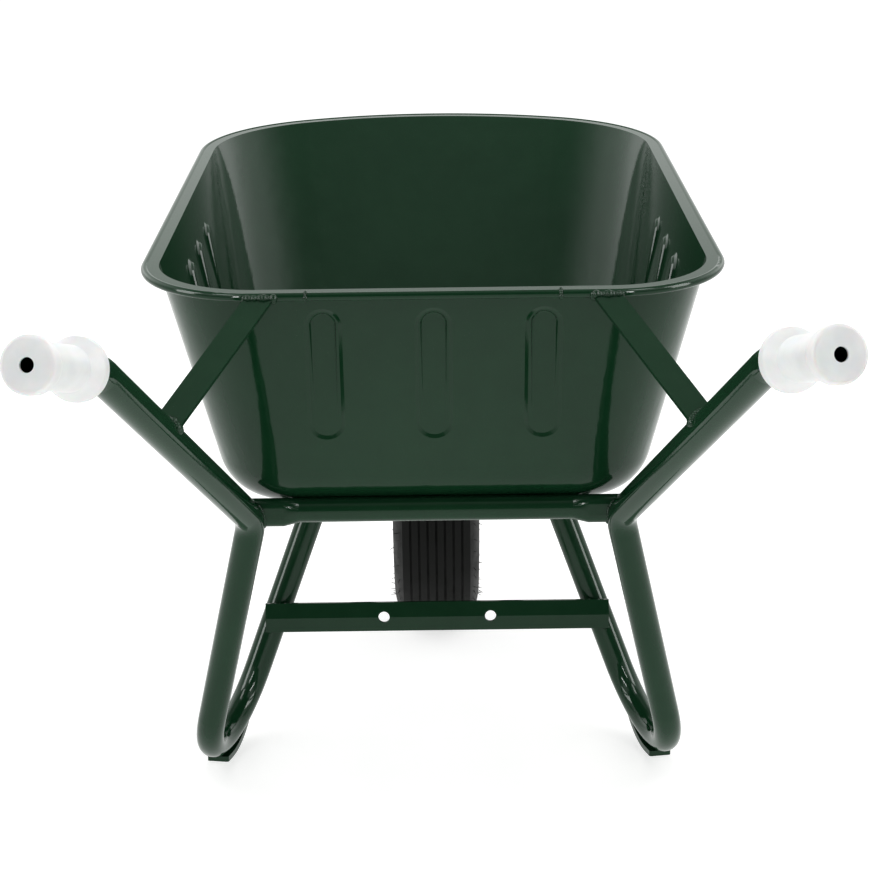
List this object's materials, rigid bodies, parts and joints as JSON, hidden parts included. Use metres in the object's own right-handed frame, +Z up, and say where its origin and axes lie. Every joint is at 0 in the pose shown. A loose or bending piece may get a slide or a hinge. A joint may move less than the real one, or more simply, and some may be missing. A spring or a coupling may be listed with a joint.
{
  "type": "wheelbarrow",
  "caption": "Builder's wheelbarrow: deep ribbed steel tray on a bent tube frame, with a pneumatic front wheel, white grips and a drilled brace across the legs.",
  "frame": {"origin": "on the ground, in the middle of the barrow's length and width", "axes": "+X to the right of the person who pushes, +Y forward to the wheel, +Z up"},
  "size_m": [0.6536, 1.4262, 0.711],
  "materials": {
    "green_paint": "gloss",
    "zinc": "satin",
    "wheel_steel": "gloss",
    "grip_plastic": "satin",
    "bush_plastic": "matte",
    "tyre_rubber": "matte",
    "tube_rubber": "matte",
    "valve_brass": "satin",
    "cap_plastic": "matte"
  },
  "bodies": {
    "frame": {"tray": "green_paint", "frame_tube_left": "green_paint", "frame_tube_right": "green_paint", "rear_crossmember": "green_paint", "front_crossmember": "green_paint", "leg_brace": "green_paint", "strut_left": "green_paint", "strut_right": "green_paint", "foot_shoe_left": "green_paint", "foot_shoe_right": "green_paint", "axle_bracket_left": "green_paint", "axle_bracket_right": "green_paint", "axle": "zinc", "axle_nuts": "zinc", "axle_washers": "zinc", "axle_spacers": "zinc", "grip_left": "grip_plastic", "grip_right": "grip_plastic"},
    "wheel": {"hub_tube": "zinc", "hub_bush_left": "bush_plastic", "hub_bush_right": "bush_plastic", "wheel_disc_left": "wheel_steel", "wheel_disc_right": "wheel_steel", "rim_bolts": "zinc", "rim_nuts": "zinc", "tyre": "tyre_rubber", "inner_tube": "tube_rubber", "valve_stem": "valve_brass", "valve_cap": "cap_plastic"}
  },
  "joints": [
    {"name": "wheel_spin", "type": "hinge", "parent": "frame", "child": "wheel", "pos_m": [0, 0.51308, 0.2], "axis": [1, 0, 0], "continuous": true}
  ]
}
